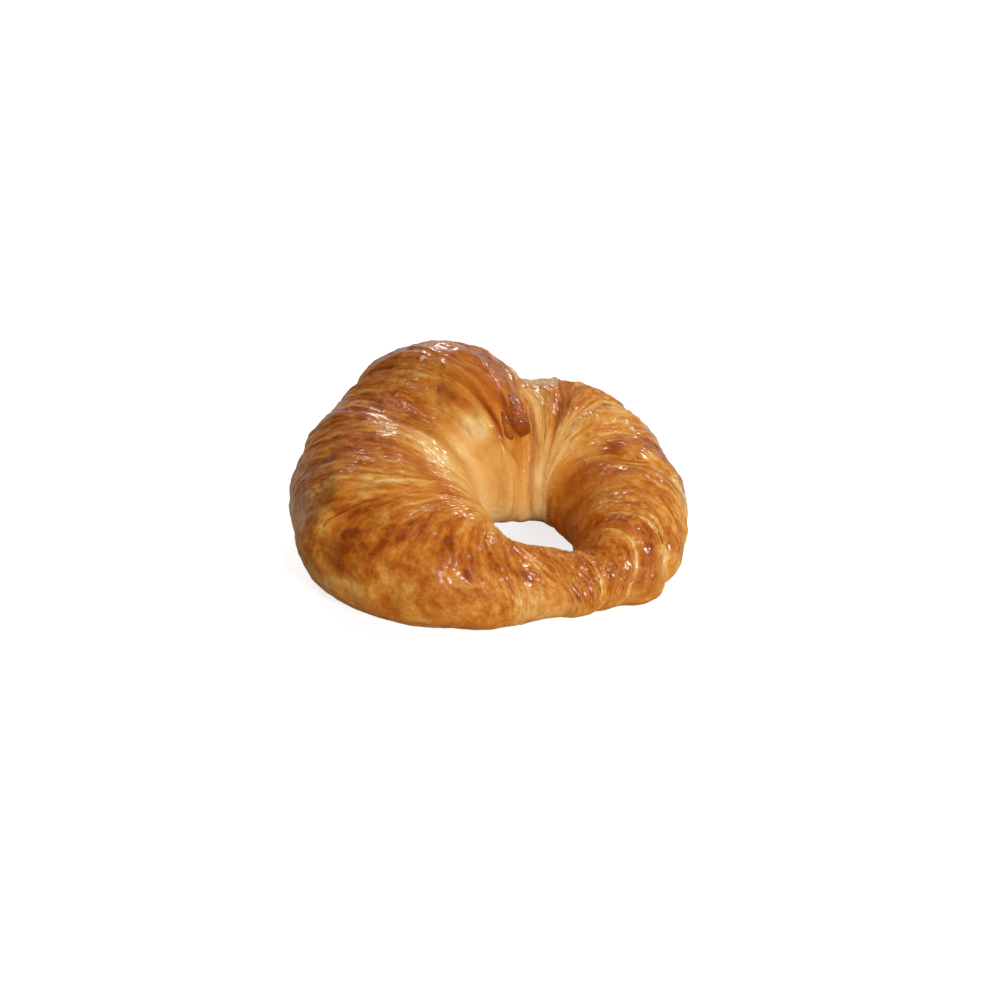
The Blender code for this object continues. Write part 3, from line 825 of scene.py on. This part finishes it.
def make_roll(name, path, half_widths, half_thicknesses, lifts, crease, bluntness, tones, seed):
    """A sphere drawn out along its path on the crust, with a cuff and a crease at its blunt end."""
    roll = new_mesh_object(
        bpy.ops.mesh.primitive_uv_sphere_add, name, segments=ROLL_SEGMENTS, ring_count=ROLL_RINGS, radius=1.0
    )
    unit = np.empty(len(roll.data.vertices) * 3)
    roll.data.vertices.foreach_get("co", unit)
    across, thick, along = unit.reshape(-1, 3).T
    share = (1 - along) / 2
    blunt = ((1 + along**2) * (1 + along**4)) ** (bluntness / 2)

    def bend(values):
        first, middle, last = values
        return first * (1 - share) ** 2 + middle * 2 * share * (1 - share) + last * share**2

    ring_angle, section_angle = (bend(values) for values in zip(*path))
    place, ring_way, _, outward = crust_directions(ring_angle, section_angle)
    own_place = np.stack([across * ROLL_WIDTH_MM, thick * ROLL_WIDTH_MM, share * ROLL_LENGTH_MM], axis=-1)
    rough = 0.7 * field(own_place / BUMP_MM, seed) + 0.25 * field(own_place / FINE_BUMP_MM, seed + 1)
    rough = rough * mix(0.3, 1.0, smooth(0.2, 0.7, share))
    slanted = share + 0.03 * across + 0.02 * rough
    cuff = crease * (ridge(slanted, *CUFF) + ridge(slanted, *CREASE))
    swell = 1.0 + (rough + cuff) / ROLL_THICKNESS_MM
    lift = bend(lifts) + thick * blunt * bend(half_thicknesses) * swell
    aside = across * blunt * bend(half_widths) * swell
    set_points(roll, in_frame(place + outward * lift[:, None] + ring_way * aside[:, None]))
    roll.data.shade_smooth()
    baked = mix(*tones, smooth(*BROWNING, share))
    keep_attribute(roll, "brown", np.clip(baked + 0.12 * rough + 0.10 * cuff, 0, 1))
    keep_attribute(roll, "gloss", np.full_like(share, 0.9))
    keep_attribute(roll, "layered", 0.4 * (1 - smooth(0.6, 0.9, share)))
    return roll


rolls = [make_roll(*row, seed=20 + 5 * number) for number, row in enumerate(ROLLS)]
for roll in rolls:
    print(roll.name + ":", len(roll.data.polygons), "faces")

# %% [markdown]
# ## Colours of baked butter dough
#
# Baked dough has one run of colours, from cream through golden yellow and orange brown to dark caramel,
# and every place on the crust is somewhere along it. One colour ramp holds that run, so that mottling,
# layers and edges all shift the colour the way baking does. The two effects, thin layers and the oven's
# mottling, are node groups, so that another baked dough can use them too.

# %% Node groups
def add_node(tree, kind, **values):
    """A node with its settings, and its unlinked inputs by name."""
    node = tree.nodes.new(kind)
    for name, value in values.items():
        if name in node.inputs:
            node.inputs[name].default_value = value
        else:
            setattr(node, name, value)
    return node


def math_node(tree, operation, first, second, clamp=False):
    """The result of two values, each a number or another node's output."""
    node = add_node(tree, "ShaderNodeMath", operation=operation, use_clamp=clamp)
    for socket, value in zip(node.inputs, (first, second)):
        if isinstance(value, (int, float)):
            socket.default_value = value
        else:
            tree.links.new(value, socket)
    return node.outputs[0]


def plus_share(tree, value, other, share, clamp=False):
    """One value plus a share of another."""
    return math_node(tree, "ADD", value, math_node(tree, "MULTIPLY", other, share), clamp)


def new_group(name, inputs, outputs):
    """An empty node group with named sockets, and its two end nodes."""
    tree = bpy.data.node_groups.new(name, "ShaderNodeTree")
    for way, sockets in (("INPUT", inputs), ("OUTPUT", outputs)):
        for socket_name, kind in sockets:
            tree.interface.new_socket(name=socket_name, in_out=way, socket_type=kind)
    return tree, tree.nodes.new("NodeGroupInput"), tree.nodes.new("NodeGroupOutput")


def noise_at(tree, vector, scale, detail=3.0, roughness=0.55):
    """A noise of the given bumps per unit, centred on 0."""
    node = add_node(tree, "ShaderNodeTexNoise", Scale=scale, Detail=detail, Roughness=roughness)
    tree.links.new(vector, node.inputs["Vector"])
    return math_node(tree, "SUBTRACT", node.outputs["Fac"], 0.5)


def stretched(tree, vector, stretch):
    """A place with each axis scaled, so that a noise there is drawn out."""
    node = add_node(tree, "ShaderNodeMapping", Scale=stretch)
    tree.links.new(vector, node.inputs["Vector"])
    return node.outputs["Vector"]


def make_layer_group():
    """Thin layers of dough: fine lines along the wraps, as a value about 0 and as a height."""
    tree, start, end = new_group(
        "thin_layers", [("Map", "NodeSocketVector"), ("Strength", "NodeSocketFloat")],
        [("Shade", "NodeSocketFloat"), ("Height", "NodeSocketFloat")],
    )
    along_wraps = start.outputs["Map"]
    broad = noise_at(tree, stretched(tree, along_wraps, (75, 18, 1)), 1.0, 4.0)
    fine = noise_at(tree, stretched(tree, along_wraps, (200, 50, 1)), 1.0, 3.0)
    long = noise_at(tree, stretched(tree, along_wraps, (32, 8, 1)), 1.0, 2.0)
    height = plus_share(tree, broad, fine, 0.7)
    shade = plus_share(tree, height, long, 0.4)
    for name, value in (("Shade", shade), ("Height", height)):
        strong = math_node(tree, "MULTIPLY", value, start.outputs["Strength"])
        tree.links.new(strong, end.inputs[name])
    return tree


def make_mottle_group():
    """Mottled browning in three sizes, as a value about 0, and a fine crinkle as a height."""
    tree, start, end = new_group(
        "oven_mottle", [("Place", "NodeSocketVector")],
        [("Shade", "NodeSocketFloat"), ("Height", "NodeSocketFloat")],
    )
    place = start.outputs["Place"]
    large = noise_at(tree, place, 110.0, 3.0)
    middle = noise_at(tree, place, 380.0, 4.0, 0.65)
    small = noise_at(tree, place, 1500.0, 3.0, 0.65)
    shade = plus_share(tree, math_node(tree, "MULTIPLY", large, 0.2), middle, 0.8)
    shade = plus_share(tree, shade, small, 0.7)
    tree.links.new(shade, end.inputs["Shade"])
    tree.links.new(plus_share(tree, middle, small, 0.45), end.inputs["Height"])
    return tree


layer_group = make_layer_group()
mottle_group = make_mottle_group()
print("groups:", layer_group.name, "and", mottle_group.name)

# %% Run of baked colours
# Brownness, and the colour of dough baked that far.
BAKING = (
    (0.00, (0.94, 0.69, 0.36)),
    (0.18, (0.90, 0.53, 0.175)),
    (0.36, (0.80, 0.38, 0.080)),
    (0.54, (0.67, 0.240, 0.032)),
    (0.72, (0.54, 0.150, 0.012)),
    (0.88, (0.43, 0.096, 0.006)),
    (1.00, (0.28, 0.055, 0.004)),
)


def baking_ramp(tree, brownness):
    """The colour of dough that is baked this far."""
    ramp = add_node(tree, "ShaderNodeValToRGB")
    ramp.color_ramp.interpolation = "LINEAR"
    stops = ramp.color_ramp.elements
    while len(stops) < len(BAKING):
        stops.new(0.5)
    for stop, (position, colour) in zip(stops, BAKING):
        stop.position = position
        stop.color = (*colour, 1.0)
    tree.links.new(brownness, ramp.inputs["Fac"])
    return ramp.outputs["Color"]


# %% Baked crust material
LAYER_SHADE, MOTTLE_SHADE = 1.7, 0.28
DRY_ROUGHNESS, GLOSS_SMOOTHS, MOTTLE_ROUGHNESS = 0.55, -0.20, 0.15
COAT_START, COAT_GAIN = -0.36, 1.2
LAYER_BUMP, BUMP_DISTANCE = 1.2, 0.0004


def baked_crust(name):
    """Browned dough under a thin, uneven coat of baked egg."""
    material = bpy.data.materials.new(name)
    material.use_nodes = True
    tree = material.node_tree
    shader = tree.nodes["Principled BSDF"]
    brown_here, gloss_here, layered_here = (
        add_node(tree, "ShaderNodeAttribute", attribute_name=kind).outputs["Fac"]
        for kind in ("brown", "gloss", "layered")
    )
    place = add_node(tree, "ShaderNodeTexCoord")
    layers = add_node(tree, "ShaderNodeGroup", node_tree=layer_group)
    tree.links.new(place.outputs["UV"], layers.inputs["Map"])
    tree.links.new(layered_here, layers.inputs["Strength"])
    mottle = add_node(tree, "ShaderNodeGroup", node_tree=mottle_group)
    tree.links.new(place.outputs["Object"], mottle.inputs["Place"])

    brownness = plus_share(tree, brown_here, layers.outputs["Shade"], LAYER_SHADE)
    brownness = plus_share(tree, brownness, mottle.outputs["Shade"], MOTTLE_SHADE)
    tree.links.new(baking_ramp(tree, brownness), shader.inputs["Base Color"])

    rough = plus_share(tree, DRY_ROUGHNESS, gloss_here, GLOSS_SMOOTHS)
    rough = plus_share(tree, rough, mottle.outputs["Shade"], MOTTLE_ROUGHNESS, clamp=True)
    tree.links.new(rough, shader.inputs["Roughness"])
    coat = plus_share(tree, COAT_START, gloss_here, COAT_GAIN, clamp=True)
    tree.links.new(coat, shader.inputs["Coat Weight"])
    shader.inputs["Coat Roughness"].default_value = 0.20
    shader.inputs["Coat IOR"].default_value = 1.42
    shader.inputs["Specular IOR Level"].default_value = 0.10

    height = plus_share(tree, mottle.outputs["Height"], layers.outputs["Height"], LAYER_BUMP)
    bump = add_node(tree, "ShaderNodeBump", Strength=1.0, Distance=BUMP_DISTANCE)
    tree.links.new(height, bump.inputs["Height"])
    tree.links.new(bump.outputs["Normal"], shader.inputs["Normal"])
    return material


baked = baked_crust("baked_crust")
for piece in [crust, *rolls]:
    piece.data.materials.clear()
    piece.data.materials.append(baked)
    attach(piece, "root")
    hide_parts("croissant")
print("crust material:", len(baked.node_tree.nodes), "nodes")

# %% [markdown]
# ## Table, light and camera
#
# The croissant lies on a plain white surface in a studio. A small soft key light stands in front, to the
# right. Four more, behind and above, draw the glossy streaks on the crests, and a low, wide strip behind
# the croissant lights its far rim. The table glows a little for the camera alone, which keeps it white
# without more light on the crust. The camera looks down at 37 degrees from nine tenths of a metre, with a
# long lens.

# %% Table
WHITE = (1.0, 1.0, 1.0, 1.0)
TABLE_GREY = (0.52, 0.52, 0.52, 1.0)
TABLE_SIZE = 6.0
TABLE_GLOW = 0.78
table = new_mesh_object(bpy.ops.mesh.primitive_plane_add, "table", size=TABLE_SIZE, location=(0.0, 0.0, 0.0))
table_finish = bpy.data.materials.new("white_table")
table_finish.use_nodes = True
surface = table_finish.node_tree.nodes["Principled BSDF"]
surface.inputs["Base Color"].default_value = TABLE_GREY
surface.inputs["Emission Color"].default_value = WHITE
surface.inputs["Roughness"].default_value = 0.8
surface.inputs["Specular IOR Level"].default_value = 0.2
rays = add_node(table_finish.node_tree, "ShaderNodeLightPath")
glow = math_node(table_finish.node_tree, "MULTIPLY", rays.outputs["Is Camera Ray"], TABLE_GLOW)
table_finish.node_tree.links.new(glow, surface.inputs["Emission Strength"])
table.data.materials.append(table_finish)
print("table:", TABLE_SIZE, "m wide")

# %% Lights
# Name; place, width and height in metres; power in watts.
LIGHTS = (
    ("key_light", (0.50, -0.87, 0.46), 0.20, 0.20, 8.6),
    ("back_left_light", (-0.50, 0.25, 0.95), 0.18, 0.18, 2.0),
    ("back_right_light", (0.68, 0.68, 0.55), 0.18, 0.18, 3.3),
    ("back_light", (-0.10, 1.00, 0.45), 0.15, 0.15, 2.0),
    ("low_back_light", (0.00, 0.75, 0.10), 0.90, 0.12, 0.30),
    ("overhead_light", (0.05, 0.35, 1.00), 0.13, 0.13, 1.1),
)
LIT_MIDDLE = Vector((0.0, 0.0, 0.03))
STUDIO_FILL = 0.12


def soft_light(name, place, width, height, power):
    """A soft light panel that faces the croissant."""
    light = bpy.data.lights.new(name, "AREA")
    light.shape = "RECTANGLE"
    light.size = width
    light.size_y = height
    light.energy = power
    holder = bpy.data.objects.new(name, light)
    bpy.context.scene.collection.objects.link(holder)
    holder.location = place
    holder.rotation_euler = (LIT_MIDDLE - holder.location).to_track_quat("-Z", "Y").to_euler()
    holder.visible_camera = False


for light_row in LIGHTS:
    soft_light(*light_row)
studio = bpy.data.worlds.new("studio")
studio.use_nodes = True
studio.node_tree.nodes["Background"].inputs["Color"].default_value = WHITE
studio.node_tree.nodes["Background"].inputs["Strength"].default_value = STUDIO_FILL
bpy.context.scene.world = studio
print(len(LIGHTS), "lights,", round(sum(row[-1] for row in LIGHTS), 1), "W in all")

# %% Camera
AIM_MM = (2.35, -5.15, 22.0)
CAMERA_DISTANCE = 0.9
CAMERA_RISE_DEG = 37.0
LENS_MM = 100.5
SENSOR_MM = 36.0
rise = np.radians(CAMERA_RISE_DEG)
aim = Vector(AIM_MM) * MM
camera_data = bpy.data.cameras.new("camera")
camera_data.lens = LENS_MM
camera_data.sensor_width = SENSOR_MM
camera = bpy.data.objects.new("camera", camera_data)
bpy.context.scene.collection.objects.link(camera)
towards_camera = Vector((0.0, -float(np.cos(rise)), float(np.sin(rise))))
camera.location = aim + towards_camera * CAMERA_DISTANCE
camera.rotation_euler = (-towards_camera).to_track_quat("-Z", "Y").to_euler()
bpy.context.scene.camera = camera
bpy.context.scene.view_settings.view_transform = "Standard"
print("camera at", [round(value, 3) for value in camera.location], "m")
